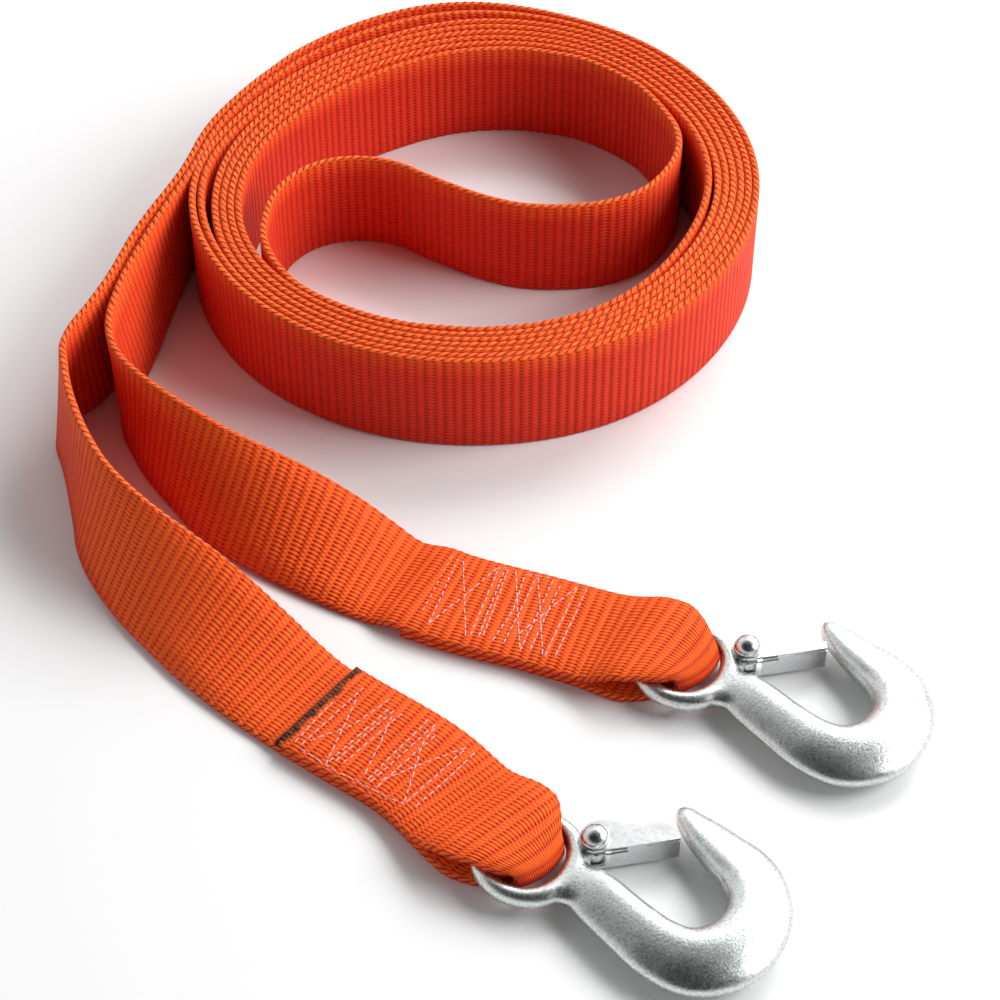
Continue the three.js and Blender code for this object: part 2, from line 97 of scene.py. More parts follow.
# Sewn fold: its length, and its stations round the eye as distance from the middle of the eye towards
# the hook, height, width and shift aside
FOLD_LENGTH = 114
EYE_FOLD = [(-66, UPPER_LAYER, 50, -0.5), (-55, 5.3, 50, -1.2), (-45, 6.2, 50, -2.2),
            (-36, 7.4, 50, -2.8), (-28.5, 10.3, 50, -2.8), (-21, 13.4, 50, -1.8),
            (-15, 14.1, 49, -0.6), (-10.5, 14.1, 46, 0.6), (-4, 14, 39, 0.2), (1.5, 13.6, 31, -0.4),
            (4.6, 12.2, 25, 0), (5.6, 8.3, 24, 0), (2.4, 4.3, 27, 0), (-4, 2.1, 35, 0),
            (-9, FLOOR_LAYER, 42, -0.4), (-18, FLOOR_LAYER, 49, -1.4), (-28, FLOOR_LAYER, 50, -1.6),
            (-40, FLOOR_LAYER, 50, -1.2), (-54, FLOOR_LAYER, 50, -0.6)]
FOLD_STEP = 15
TAIL_STEP = 13
# The rear tail is up on its fold this far before the fold's cut end
RAMP_CLEARANCE = 3
# Stations at the start of each strand that the S runs over, and the stations of the S
SHARED_STATIONS = 5
MIDDLE_STATIONS = 41
# Keeps the degrees of lean small beside the millimetres while a tail is smoothed
LEAN_SCALE = 100


def through(a, b, c, d, t):
    """Value of a Catmull-Rom curve between b and c."""
    bend = 2 * a - 5 * b + 4 * c - d
    twist = 3 * b - a - 3 * c + d
    return (2 * b + (c - a) * t + bend * t * t + twist * t * t * t) / 2


def around(values, degrees):
    """Value in a direction, from values spaced evenly round a circle."""
    place = (degrees % 360) / (360 / len(values))
    first = int(math.floor(place))
    pick = [values[(first + k) % len(values)] for k in (-1, 0, 1, 2)]
    return through(*pick, place - first)


def coil_point(strand, degrees):
    """Place on a strand, with its direction counted on through the turns."""
    level = strand[0] + (degrees - 90) / 180
    radius = around(LEVEL_ZERO, degrees) + around(LEVEL_PITCH, degrees) * level
    for edge, at, reach, size in OPENINGS:
        away = (degrees - at + 180) % 360 - 180
        beyond = level > edge if size > 0 else level < edge
        if beyond and abs(away) < reach:
            radius += size * math.cos(away / reach * math.pi / 2) ** 2
    return np.array([radius * math.cos(math.radians(degrees)),
                     radius * math.sin(math.radians(degrees)), 0.0])


def coil_points(strand):
    return [coil_point(strand, d) for d in np.arange(strand[1], strand[2] + 0.01, COIL_STEP)]


def smooth(points, samples):
    """Centripetal Catmull-Rom curve through the points, with even samples in its own parameter."""
    p = np.array(points, float)
    p = np.vstack([2 * p[0] - p[1], p, 2 * p[-1] - p[-2]])
    out = []
    for i in range(1, len(p) - 2):
        a, b, c, d = p[i - 1:i + 3]
        t0, t1, t2 = (max(np.linalg.norm(v), 1e-6) ** 0.5 for v in (b - a, c - b, d - c))
        m1 = ((b - a) / t0 - (c - a) / (t0 + t1) + (c - b) / t1) * t1
        m2 = ((c - b) / t1 - (d - b) / (t1 + t2) + (d - c) / t2) * t1
        t = np.linspace(0, 1, samples, endpoint=False)[:, None]
        out.append(b + m1 * t + (3 * (c - b) - 2 * m1 - m2) * t ** 2
                   + (2 * (b - c) + m1 + m2) * t ** 3)
    return np.vstack(out + [p[-2:-1]])


class Line:
    """A dense line that gives its place and direction at a distance along it."""

    def __init__(self, points):
        self.points = points
        steps = np.linalg.norm(np.diff(points, axis=0), axis=1)
        self.at = np.concatenate([[0], np.cumsum(steps)])
        self.length = self.at[-1]

    def place(self, distance):
        return np.array([np.interp(distance, self.at, self.points[:, k])
                         for k in range(self.points.shape[1])])

    def along(self, distance):
        d = self.place(min(distance + 0.2, self.length)) - self.place(max(distance - 0.2, 0))
        return d / np.linalg.norm(d)


def tail_curve(tail, strand):
    """Length of a tail, and a function that gives its stations by distance from the middle of the eye."""
    points = [(x, y, lean / LEAN_SCALE) for x, y, lean in tail]
    for ahead in (2, 1, 0):
        points.append(coil_point(strand, strand[2] + COIL_STEP * 2 * ahead))
    line = Line(smooth(points, samples=60))
    beyond = math.dist(tail[0][:2], tail[1][:2])

    def station(distance, height=None, width=WEB_WIDTH, aside=0.0):
        at = min(beyond - distance, line.length)
        x, y, lean = line.place(at)
        along = line.along(at)
        lean = math.radians(min(lean * LEAN_SCALE, 90))
        inner = np.array([along[1], -along[0], 0])
        inner /= np.linalg.norm(inner)
        across = inner * math.sin(lean) + np.array([0, 0, math.cos(lean)])
        rest = WEB_WIDTH / 2 * math.cos(lean) + FLOOR_LAYER * abs(math.sin(lean))
        return np.array([x, y, rest if height is None else height]) + across * aside, across, width

    return line.length - beyond, station


def stretch(station, start, end, step, height=None):
    count = math.ceil(abs(end - start) / step)
    return [station(start + (end - start) * i / count, height) for i in range(count + 1)]


def standing(point):
    return np.array([point[0], point[1], WEB_WIDTH / 2]), np.array([0, 0, 1.0]), WEB_WIDTH


def strap_stations():
    """Place, direction across and width of the webbing, from one cut end to the other."""
    front_length, front = tail_curve(FRONT_TAIL, FRONT_STRAND)
    rear_length, rear = tail_curve(REAR_TAIL, REAR_STRAND)
    front_coil, rear_coil = coil_points(FRONT_STRAND), coil_points(REAR_STRAND)
    shared = slice(0, SHARED_STATIONS, 2)
    middle = Line(smooth(
        front_coil[shared][::-1] + [coil_point(FRONT_STRAND, FRONT_STRAND[1] - COIL_STEP * 2)]
        + [np.array([x, y, 0.0]) for x, y in MIDDLE]
        + [coil_point(REAR_STRAND, REAR_STRAND[1] - COIL_STEP)] + rear_coil[shared], samples=30))
    upper_start = EYE_FOLD[0][0] - FOLD_STEP
    lower_start = EYE_FOLD[-1][0] - FOLD_STEP
    ramp_top = -FOLD_LENGTH - RAMP_CLEARANCE
    return (
        stretch(front, -FOLD_LENGTH, upper_start, FOLD_STEP, UPPER_LAYER)
        + [front(*place) for place in EYE_FOLD]
        + stretch(front, lower_start, -front_length, TAIL_STEP)[:-1]
        + [standing(p) for p in front_coil[SHARED_STATIONS:][::-1]]
        + [standing(middle.place(d)) for d in np.linspace(0, middle.length, MIDDLE_STATIONS)]
        + [standing(p) for p in rear_coil[SHARED_STATIONS:]]
        + stretch(rear, -rear_length, ramp_top - TAIL_STEP, TAIL_STEP)[1:]
        + stretch(rear, ramp_top, upper_start, FOLD_STEP, UPPER_LAYER)
        + [rear(*place) for place in EYE_FOLD]
        + stretch(rear, lower_start, -FOLD_LENGTH, FOLD_STEP, FLOOR_LAYER)
    )


# Small helpers

def mesh_piece(name, vertices, faces, material, body=ROOT):
    data = bpy.data.meshes.new(name)
    data.from_pydata([tuple(v) for v in vertices], [], [tuple(f) for f in faces])
    data.validate()
    piece = bpy.data.objects.new(name, data)
    bpy.context.scene.collection.objects.link(piece)
    data.polygons.foreach_set("use_smooth", [True] * len(data.polygons))
    data.materials.append(material)
    if body:
        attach(piece, body)
    return piece


class Number:
    """A number in a shader, so that node maths can be written as plain arithmetic."""

    def __init__(self, tree, socket):
        self.tree = tree
        self.socket = socket

    def math(self, operation, *others):
        node = self.tree.nodes.new("ShaderNodeMath")
        node.operation = operation
        for i, value in enumerate((self, *others)):
            if isinstance(value, Number):
                self.tree.links.new(value.socket, node.inputs[i])
            else:
                node.inputs[i].default_value = value
        return Number(self.tree, node.outputs[0])

    def __add__(self, other):
        return self.math("ADD", other)

    def __sub__(self, other):
        return self.math("SUBTRACT", other)

    def __mul__(self, other):
        return self.math("MULTIPLY", other)

    def __truediv__(self, other):
        return self.math("DIVIDE", other)

    def clamp(self):
        return self.math("MAXIMUM", 0.0).math("MINIMUM", 1.0)

    def opposite(self):
        """1 less the number."""
        return self * -1 + 1

    def wave(self, period, shift=0.0):
        """From 0 to 1 and back in each period, 1 at the start."""
        turn = (self / period + shift) * (2 * math.pi)
        return turn.math("COSINE") * 0.5 + 0.5

    def ramp(self, low, high):
        """0 below low, 1 above high, smooth between."""
        node = self.tree.nodes.new("ShaderNodeMapRange")
        node.interpolation_type = "SMOOTHSTEP"
        self.tree.links.new(self.socket, node.inputs["Value"])
        node.inputs["From Min"].default_value = low
        node.inputs["From Max"].default_value = high
        return Number(self.tree, node.outputs["Result"])


def new_material(name, colour, rough, metal):
    material = bpy.data.materials.new(name)
    material.use_nodes = True
    shader = material.node_tree.nodes["Principled BSDF"]
    shader.inputs["Base Color"].default_value = (*colour, 1)
    shader.inputs["Roughness"].default_value = rough
    shader.inputs["Metallic"].default_value = metal
    return material, material.node_tree, shader


def noise(tree, scale, detail, stretch_by=None):
    place = tree.nodes.new("ShaderNodeTexCoord").outputs["Object"]
    if stretch_by:
        mapping = tree.nodes.new("ShaderNodeMapping")
        mapping.inputs["Scale"].default_value = stretch_by
        tree.links.new(place, mapping.inputs["Vector"])
        place = mapping.outputs["Vector"]
    node = tree.nodes.new("ShaderNodeTexNoise")
    node.inputs["Scale"].default_value = scale
    node.inputs["Detail"].default_value = detail
    tree.links.new(place, node.inputs["Vector"])
    return Number(tree, node.outputs["Fac"])


def blend_colour(tree, amount, low, high):
    """Colour between low and high, each a tuple or the output of a node."""
    node = tree.nodes.new("ShaderNodeMix")
    node.data_type = "RGBA"
    tree.links.new(amount.socket, node.inputs["Factor"])
    for i, colour in ((6, low), (7, high)):
        if isinstance(colour, tuple):
            node.inputs[i].default_value = (*colour, 1)
        else:
            tree.links.new(colour, node.inputs[i])
    return node.outputs[2]


def bump(tree, shader, height, distance, strength=1.0):
    node = tree.nodes.new("ShaderNodeBump")
    node.inputs["Distance"].default_value = distance
    node.inputs["Strength"].default_value = strength
    tree.links.new(height.socket, node.inputs["Height"])
    tree.links.new(node.outputs["Normal"], shader.inputs["Normal"])


# Webbing. Its map holds the length along the strap and the way round its section, in metres: over one
# face, round an edge, over the other face and round the other edge.

FACE_TWO = WEB_WIDTH + WEB_THICKNESS
ROUND = 2 * FACE_TWO
RIB_PERIOD = 4.1
ROW_PERIOD = 1.85


def edge_share(way):
    """1 on both edges of the webbing and 0 on its faces."""
    first = way.ramp(WEB_WIDTH - 0.4, WEB_WIDTH + 0.3) * way.ramp(FACE_TWO - 0.3, FACE_TWO + 0.4).opposite()
    second = way.ramp(FACE_TWO + WEB_WIDTH - 0.4, FACE_TWO + WEB_WIDTH + 0.3)
    return first + second


def painted_light_by_facing(tree):
    """1 on faces that look up and 0 on upright ones: how far the webbing takes its painted lit colours rather
    than its painted shaded ones.
    """
    normal = tree.nodes.new("ShaderNodeNewGeometry").outputs["Normal"]
    parts = tree.nodes.new("ShaderNodeSeparateXYZ")
    tree.links.new(normal, parts.inputs["Vector"])
    return Number(tree, parts.outputs["Z"]).ramp(-0.1, 0.6)


def webbing_material():
    material, tree, shader = new_material("webbing", (0.9, 0.1, 0.02), 0.62, 0)
    uv = tree.nodes.new("ShaderNodeUVMap")
    uv.uv_map = "weave"
    split = tree.nodes.new("ShaderNodeSeparateXYZ")
    tree.links.new(uv.outputs["UV"], split.inputs["Vector"])
    along = Number(tree, split.outputs["X"]) * 1000
    way = Number(tree, split.outputs["Y"]) * 1000
    side = edge_share(way)

    rib = along.wave(RIB_PERIOD)
    row = way.wave(ROW_PERIOD)
    brick = (row - 0.5) * (along.wave(RIB_PERIOD * 2) - 0.5)
    pair = along.wave(RIB_PERIOD * 2, 0.25)
    gap = rib.opposite().math("POWER", 2.8)
    dots = gap * row.opposite().math("POWER", 1.4)
    face = rib * 0.5 + brick * 0.8 - dots * 0.55 + row * 0.1

    lean = along / (RIB_PERIOD * 2) + (way - WEB_WIDTH) / WEB_THICKNESS * 0.42
    lobe = lean.wave(1.0)
    pit = lean.wave(0.5, 0.25).math("POWER", 5.0)
    selvedge = lobe * 0.55 + lean.wave(0.5) * 0.3 - pit * 0.8
    height = face * side.opposite() + selvedge * side

    fibre = noise(tree, 900, 2)
    patch = noise(tree, 9, 2)
    shade = rib * 0.16 + brick * 0.5 + pair * 0.08 + fibre * 0.34 + patch * 0.25 - dots * 0.85 + 0.42
    shade = shade.clamp()
    edge_shade = (selvedge * 0.6 + fibre * 0.4 - pit * 0.7 + 0.4).clamp()
    # Painted light and shade: upright faces get deeper, shaded reds and faces that look up get lighter, lit
    # oranges, by the normal's height
    painted_light_share = painted_light_by_facing(tree)
    faces = blend_colour(tree, painted_light_share,
                         blend_colour(tree, shade, (0.42, 0.009, 0.007), (0.76, 0.034, 0.013)),
                         blend_colour(tree, shade, (0.66, 0.022, 0.008), (1.0, 0.13, 0.014)))
    # The edges also get painted shade on upright faces and painted light on faces that look up
    edges = blend_colour(tree, painted_light_share,
                         blend_colour(tree, edge_shade, (0.42, 0.012, 0.007), (0.8, 0.05, 0.014)),
                         blend_colour(tree, edge_shade, (0.62, 0.03, 0.008), (1.0, 0.18, 0.03)))
    colour = blend_colour(tree, side, faces, edges)

    # The strap's first cut end is burnt back to a ragged line
    ragged = noise(tree, 420, 3) * 5 + noise(tree, 90, 2) * 7 - 3.6
    char = (along - ragged).ramp(0.0, 2.2).opposite()
    soot = blend_colour(tree, noise(tree, 240, 4).ramp(0.35, 0.65), (0.02, 0.012, 0.01), (0.2, 0.05, 0.02))
    colour = blend_colour(tree, char.clamp(), colour, soot)
    tree.links.new(colour, shader.inputs["Base Color"])
    shader.inputs["Sheen Weight"].default_value = 0.12
    shader.inputs["Sheen Roughness"].default_value = 0.4
    shader.inputs["Sheen Tint"].default_value = (1.0, 0.35, 0.12, 1)
    shader.inputs["Specular IOR Level"].default_value = 0.14
    bump(tree, shader, height + fibre * 0.12, 0.0007)
    return material


STRAP_STEP = 1.38
# How far the faces stand proud of the plain thickness
FACE_PUFF = 0.12
EDGE_SHARE_OF_HEIGHT = 0.96
# Section of the webbing: places across each face, and the rounded edge as place across and share of the
# half thickness. What lies further out than EDGE_START belongs to an edge.
FACE_PLACES = (-24.0, -14.5, -5.0, 5.0, 14.5, 24.0)
EDGE_PLACES = ((24.75, -0.62), (25.05, 0.0), (24.75, 0.62))
EDGE_START = 24.5
SCALLOP_DEPTH = 0.22
SCALLOP_PERIOD = 4.15
# How far the middle of the loop stands out from its sides inside the ring, where that begins short of the
# middle of the ring, the run until it is full, and how far aside it reaches
CURL = 3.0
CURL_START = 16
CURL_RUN = 18
CURL_REACH = 8


def even_stations():
    """The whole route in even steps: distance, middle, direction across, normal and width."""
    rows = np.array([[*place, *(across * width)] for place, across, width in strap_stations()])
    fine = smooth(rows, samples=12)
    line = Line(fine[:, :3])
    at = np.linspace(0, line.length, int(line.length / STRAP_STEP))
    values = np.array([np.interp(at, line.at, fine[:, k]) for k in range(6)]).T
    middle, across = values[:, :3], values[:, 3:]
    width = np.linalg.norm(across, axis=1)
    across = across / width[:, None]
    normal = np.cross(np.gradient(middle, axis=0), across)
    normal /= np.linalg.norm(normal, axis=1)[:, None]
    return at, middle, across, normal, width


def strap_section():
    """Points round the section as place across and share of the half thickness, and their way round."""
    section = [(v, -1.0) for v in FACE_PLACES] + list(EDGE_PLACES)
    section += [(v, 1.0) for v in reversed(FACE_PLACES)] + [(-v, -h) for v, h in EDGE_PLACES]
    edge_way = [WEB_WIDTH + WEB_THICKNESS * (0.5 + h / 2) for v, h in EDGE_PLACES]
    way = [v + WEB_WIDTH / 2 for v in FACE_PLACES] + edge_way
    way += [FACE_TWO + WEB_WIDTH / 2 - v for v in reversed(FACE_PLACES)]
    way += [FACE_TWO + w for w in edge_way]
    return section, way


def loop_curl(middle):
    """How far the middle of the webbing stands out at each station, where it goes through an eye."""
    curl = np.zeros((len(middle), 2))
    for tail in (FRONT_TAIL, REAR_TAIL):
        ring = np.array(tail[1][:2])
        toward = np.array(tail[0][:2]) - ring
        toward /= np.linalg.norm(toward)
        away = middle[:, :2] - ring
        reach = away @ toward
        aside = np.abs(away @ np.array([-toward[1], toward[0]]))
        near = (aside < CURL_REACH) & (reach > -CURL_START)
        amount = np.clip((reach + CURL_START) / CURL_RUN, 0, 1)
        curl += (near * CURL * amount ** 2 * (3 - 2 * amount))[:, None] * toward
    return curl


def strap_corners(section, at, middle, across, normal, width):
    """Corners of the webbing, a ring of them at each station."""
    corners = np.zeros((len(at), len(section), 3))
    curl = loop_curl(middle)
    half = WEB_THICKNESS / 2 + FACE_PUFF
    scallop = SCALLOP_DEPTH * np.cos(2 * math.pi * at / SCALLOP_PERIOD)
    for k, (v, h) in enumerate(section):
        on_edge = abs(v) > EDGE_START
        place = v * width / WEB_WIDTH + np.sign(v) * scallop * on_edge
        rise = h * half * (EDGE_SHARE_OF_HEIGHT if on_edge else 1)
        corners[:, k] = middle + across * place[:, None] + normal * rise
        corners[:, k, :2] += curl * (1 - (2 * v / WEB_WIDTH) ** 2)
    corners[:, :, :2] += COIL
    corners[:, :, 2] = np.maximum(corners[:, :, 2], 0.0)
    return corners


def strap_faces(at, way):
    """Faces of the webbing with both ends closed, and the place of each of their corners on the map."""
    n = len(way)
    ends = way + [way[0] + ROUND]
    faces, places = [], []
    for i in range(len(at) - 1):
        for k in range(n):
            j = (k + 1) % n
            faces.append((i * n + k, i * n + j, (i + 1) * n + j, (i + 1) * n + k))
            places += [(at[i], ends[k]), (at[i], ends[k + 1]), (at[i + 1], ends[k + 1]), (at[i + 1], ends[k])]
    last = (len(at) - 1) * n
    faces.append(tuple(reversed(range(n))))
    places += [(0.0, ends[k]) for k in reversed(range(n))]
    faces.append(tuple(range(last, last + n)))
    places += [(at[-1], ends[k]) for k in range(n)]
    return faces, np.array(places) * MM


def strap_piece():
    """The webbing with rounded edges, along the same route as its solid."""
    at, *shape = even_stations()
    section, way = strap_section()
    corners = strap_corners(section, at, *shape)
    faces, places = strap_faces(at, way)
    piece = mesh_piece("webbing_strap", corners.reshape(-1, 3) * MM, faces, webbing_material())
    layer = piece.data.uv_layers.new(name="weave")
    layer.data.foreach_set("uv", places.astype(np.float32).ravel())
    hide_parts("strap")


strap_piece()

# Metal

def forged_material():
    material, tree, shader = new_material("hook_metal", (0.72, 0.75, 0.74), 0.25, 1)
    grain = noise(tree, 2600, 3)
    lumps = noise(tree, 900, 3)
    broad = noise(tree, 60, 2)
    tone = grain * 0.6 + lumps * 0.4
    tree.links.new(blend_colour(tree, tone.ramp(0.3, 0.66), (0.42, 0.46, 0.44), (0.84, 0.87, 0.86)),
                   shader.inputs["Base Color"])
    rough = lumps * 0.12 + grain * 0.14 + broad * 0.12 + 0.11
    tree.links.new(rough.socket, shader.inputs["Roughness"])
    bump(tree, shader, grain * 0.5 + lumps * 0.6 + broad * 1.2, 0.00022, 0.55)
    return material


def sheet_material():
    material, tree, shader = new_material("latch_metal", (0.78, 0.8, 0.8), 0.24, 1)
    brushed = noise(tree, 260, 3, (0.15, 1, 1))
    specks = noise(tree, 700, 3)
    tree.links.new(blend_colour(tree, specks.ramp(0.3, 0.7), (0.62, 0.64, 0.64), (0.72, 0.74, 0.74)),
                   shader.inputs["Base Color"])
    tree.links.new((brushed * 0.16 + specks * 0.06 + 0.12).socket, shader.inputs["Roughness"])
    bump(tree, shader, brushed + specks * 0.2, 0.00005, 0.4)
    return material


def plain_metal(name, colour, rough, scale):
    material, tree, shader = new_material(name, colour, rough, 1)
    specks = noise(tree, scale, 3)
    dark = tuple(c * 0.7 for c in colour)
    tree.links.new(blend_colour(tree, specks.ramp(0.3, 0.65), dark, colour), shader.inputs["Base Color"])
    tree.links.new((specks * 0.2 + rough - 0.1).socket, shader.inputs["Roughness"])
    bump(tree, shader, specks, 0.0001, 0.5)
    return material


hook_metal = forged_material()
latch_metal = sheet_material()
rivet_metal = plain_metal("rivet_metal", (0.72, 0.73, 0.72), 0.26, 600)
wire_metal = plain_metal("spring_wire", (0.5, 0.51, 0.5), 0.3, 800)

for end in ("front", "rear"):
    for name, material in ((f"latch_{end}", latch_metal), (f"spring_{end}", wire_metal)):
        node = nodes[name]
        node.data.materials.clear()
        node.data.materials.append(material)

# Hook, drawn finely in its own frame from the same numbers as its solid, then blended at the neck

HOOK_HEIGHT = 8
EYE_RADIUS = 18.7
EYE_BAR_RADIUS = 3.8
# Middle line of the arm from the eye to the tip: x, y, half width and half thickness
HOOK_LINE = [
    (14.6, -10.2, 8.2, 4.4), (19, -13.4, 9.6, 5.4), (25.1, -18.9, 10.8, 6.3), (35.7, -30.8, 11.4, 7),
    (46.9, -41.8, 12.6, 7.6), (59.1, -47.4, 13.8, 8), (73.1, -43.6, 14, 8), (82.6, -31.5, 12.9, 7.9),
    (84.9, -19, 12.2, 7.5), (81.2, -7.6, 11.6, 6.9), (73.6, 1.8, 9.9, 6.1), (66.7, 10, 8, 5.3),
    (61.8, 16.3, 5.8, 4.7), (60.2, 19.2, 4.7, 4.2), (59, 21.6, 3.3, 3.1), (58.4, 22.9, 1.6, 1.6),
]
HOOK_ROUNDING = 0.86
HOOK_OUTER_TAPER = 0.5
HOOK_FULLNESS = 1.22
PIVOT = (24.9, 4.6)
LUG_RADIUS = 4.8
LUG_BOTTOM = 3.9
LUG_TOP = 8.9
POCKET_RADIUS = 6.7
# The eye is forged wider towards the shank: its direction there, and how much its bar grows, moves in and
# rises
EYE_SWELL_TOWARDS = math.radians(-33)
EYE_SWELL = 1.7
EYE_SHIFT = 0.4
EYE_RISE = 0.5
# Filler where the outer side of the shank runs into the eye, as radius and height from the bar's middle
NECK = (14.2, -15.2)
NECK_PROFILE = [(3, -3.8), (5.6, -2.6), (6.2, 0), (5.6, 2.6), (3, 3.8)]
# Place round which the forms are relaxed into each other
BLEND_MIDDLE = (16.5, -14)
BLEND_REACH = 9
BLEND_ROUNDS = 80
FINISH_ROUNDS = 3
VOXEL_SIZE = 0.5
# The latch's room reaches past the hook below and above
POCKET_BOTTOM = -5
POCKET_TOP = 30


def refine(rows, steps):
    """Rows with steps between each two, on a smooth curve through them all."""
    last = len(rows) - 1
    fine = []
    for i in range(last):
        four = [rows[min(max(j, 0), last)] for j in range(i - 1, i + 3)]
        fine += [[through(*values, k / steps) for values in zip(*four)] for k in range(steps)]
    return np.array(fine + [rows[-1]])


def soften(value):
    """Turns the sine or cosine of an ellipse into that of a slightly squarer section."""
    return math.copysign(abs(value) ** HOOK_ROUNDING, value)


def skin(rings):
    """Closed body through rings of points, as vertices and faces."""
    n = len(rings[0])
    faces = []
    for i in range(len(rings) - 1):
        for k in range(n):
            a, b = i * n + k, i * n + (k + 1) % n
            faces.append((a, b, b + n, a + n))
    faces.append(tuple(reversed(range(n))))
    faces.append(tuple((len(rings) - 1) * n + k for k in range(n)))
    return [p for ring in rings for p in ring], faces


def lathe(profile, sides, centre):
    """Body turned round an upright axis, its profile given as radius and height from bottom to top."""
    rings = []
    for radius, height in profile:
        rings.append([(centre[0] + radius * math.cos(t), centre[1] + radius * math.sin(t), height)
                      for t in np.arange(sides) * 2 * math.pi / sides])
    return skin(rings)


def hook_arm(sides):
    rows = refine(HOOK_LINE, 8)
    last = len(rows) - 1
    rings = []
    for i, (x, y, half_width, half_thickness) in enumerate(rows):
        a, b = rows[max(i - 1, 0)], rows[min(i + 1, last)]
        outward = np.array([b[1] - a[1], a[0] - b[0]])
        outward /= np.linalg.norm(outward)
        ring = []
        for k in range(sides):
            turn = -2 * math.pi * (k + 0.5) / sides
            across = soften(math.cos(turn))
            taper = 1 - HOOK_OUTER_TAPER * (1 + across) / 2
            rise = soften(math.sin(turn)) * taper * half_thickness * HOOK_FULLNESS
            ring.append((x + outward[0] * across * half_width, y + outward[1] * across * half_width,
                         HOOK_HEIGHT + rise))
        rings.append(ring)
    return skin(rings)


def eye_ring(turns, sides):
    vertices, faces = [], []
    for i in range(turns):
        a = 2 * math.pi * i / turns
        # the eye is forged wider towards the shank
        toward = max(math.cos(a - EYE_SWELL_TOWARDS), 0.0) ** 3
        bar = EYE_BAR_RADIUS + EYE_SWELL * toward
        middle = EYE_RADIUS - EYE_SHIFT * toward
        rise = EYE_BAR_RADIUS + EYE_RISE * toward
        for k in range(sides):
            b = 2 * math.pi * k / sides
            radius = middle + bar * math.cos(b)
            vertices.append((radius * math.cos(a), radius * math.sin(a), HOOK_HEIGHT + rise * math.sin(b)))
            j, m = (i + 1) % turns, (k + 1) % sides
            faces.append((i * sides + k, j * sides + k, j * sides + m, i * sides + m))
    return vertices, faces


def joined(parts):
    vertices, faces = [], []
    for v, f in parts:
        faces += [tuple(i + len(vertices) for i in face) for face in f]
        vertices += list(v)
    return vertices, faces


def temporary(name, vertices, faces):
    data = bpy.data.meshes.new(name)
    data.from_pydata([tuple(v) for v in vertices], [], faces)
    piece = bpy.data.objects.new(name, data)
    bpy.context.scene.collection.objects.link(piece)
    return piece


def apply_modifier(piece, kind, **settings):
    """Gives the piece its mesh after one modifier."""
    modifier = piece.modifiers.new(kind, kind)
    for key, value in settings.items():
        setattr(modifier, key, value)
    bpy.context.view_layer.update()
    seen = piece.evaluated_get(bpy.context.evaluated_depsgraph_get())
    data = bpy.data.meshes.new_from_object(seen)
    piece.modifiers.clear()
    piece.data = data


def relax(data, weight, rounds):
    """Moves each corner towards the middle of its neighbours, by its own weight."""
    count = len(data.vertices)
    points = np.empty(count * 3)
    data.vertices.foreach_get("co", points)
    points = points.reshape(-1, 3)
    edges = np.empty(len(data.edges) * 2, dtype=np.int64)
    data.edges.foreach_get("vertices", edges)
    a, b = edges.reshape(-1, 2).T
    degree = np.bincount(a, minlength=count) + np.bincount(b, minlength=count)
    share = weight(points)[:, None]
    for _ in range(rounds):
        total = np.stack([np.bincount(a, points[b, k], count) + np.bincount(b, points[a, k], count)
                          for k in range(3)], axis=1)
        points += share * (total / degree[:, None] - points)
    points[:, 2] = np.maximum(points[:, 2], 0.02)
    data.vertices.foreach_set("co", points.ravel())
    data.update()


def hook_mesh():
    lug = lathe([(LUG_RADIUS, LUG_BOTTOM), (LUG_RADIUS, LUG_TOP)], 40, PIVOT)
    neck = lathe([(radius, HOOK_HEIGHT + rise) for radius, rise in NECK_PROFILE], 32, NECK)
    body = temporary("hook_form", *joined([hook_arm(36), eye_ring(96, 28), lug, neck]))
    apply_modifier(body, "REMESH", mode="VOXEL", voxel_size=VOXEL_SIZE)

    def weight(points):
        away = np.linalg.norm(points[:, :2] - BLEND_MIDDLE, axis=1)
        return 0.1 + 0.75 * np.exp(-(away / BLEND_REACH) ** 4)

    relax(body.data, weight, BLEND_ROUNDS)
    relax(body.data, lambda points: np.full(len(points), 0.5), FINISH_ROUNDS)
    pocket = temporary("pocket", *joined([
        lathe([(POCKET_RADIUS, LUG_TOP), (POCKET_RADIUS, POCKET_TOP)], 48, PIVOT),
        lathe([(POCKET_RADIUS, POCKET_BOTTOM), (POCKET_RADIUS, LUG_BOTTOM)], 48, PIVOT)]))
    apply_modifier(body, "BOOLEAN", operation="DIFFERENCE", object=pocket, solver="EXACT")
    data = body.data
    bpy.data.objects.remove(pocket)
    bpy.data.objects.remove(body)
    return data


def placed(data, tail):
    """A mesh drawn in the hook's frame, in millimetres, moved to its place in metres."""
    copy = data.copy()
    points = np.empty(len(copy.vertices) * 3)
    copy.vertices.foreach_get("co", points)
    points = points.reshape(-1, 3) + (tail[1][0] + COIL[0], tail[1][1] + COIL[1], 0)
    copy.vertices.foreach_set("co", (points * MM).ravel())
    copy.polygons.foreach_set("use_smooth", [True] * len(copy.polygons))
    copy.update()
    return copy


def metal_piece(name, data, material, stands_for):
    piece = bpy.data.objects.new(name, data)
    bpy.context.scene.collection.objects.link(piece)
    data.materials.clear()
    data.materials.append(material)
    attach(piece, ROOT)
    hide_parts(stands_for)


# Rivet as radius and height from bottom to top, and the dome on it
RIVET_PROFILE = [(0.05, 0.45), (3.9, 0.45), (4.4, 0.85), (4.4, 1.95), (2, 1.95), (2, 14.05), (5.3, 14.05),
                 (5.65, 14.2), (5.75, 14.45), (5.7, 14.75), (5.4, 14.9)]
DOME_RADIUS, DOME_BOTTOM, DOME_HEIGHT = 5.4, 14.9, 3.9
DOME_STEPS = 16


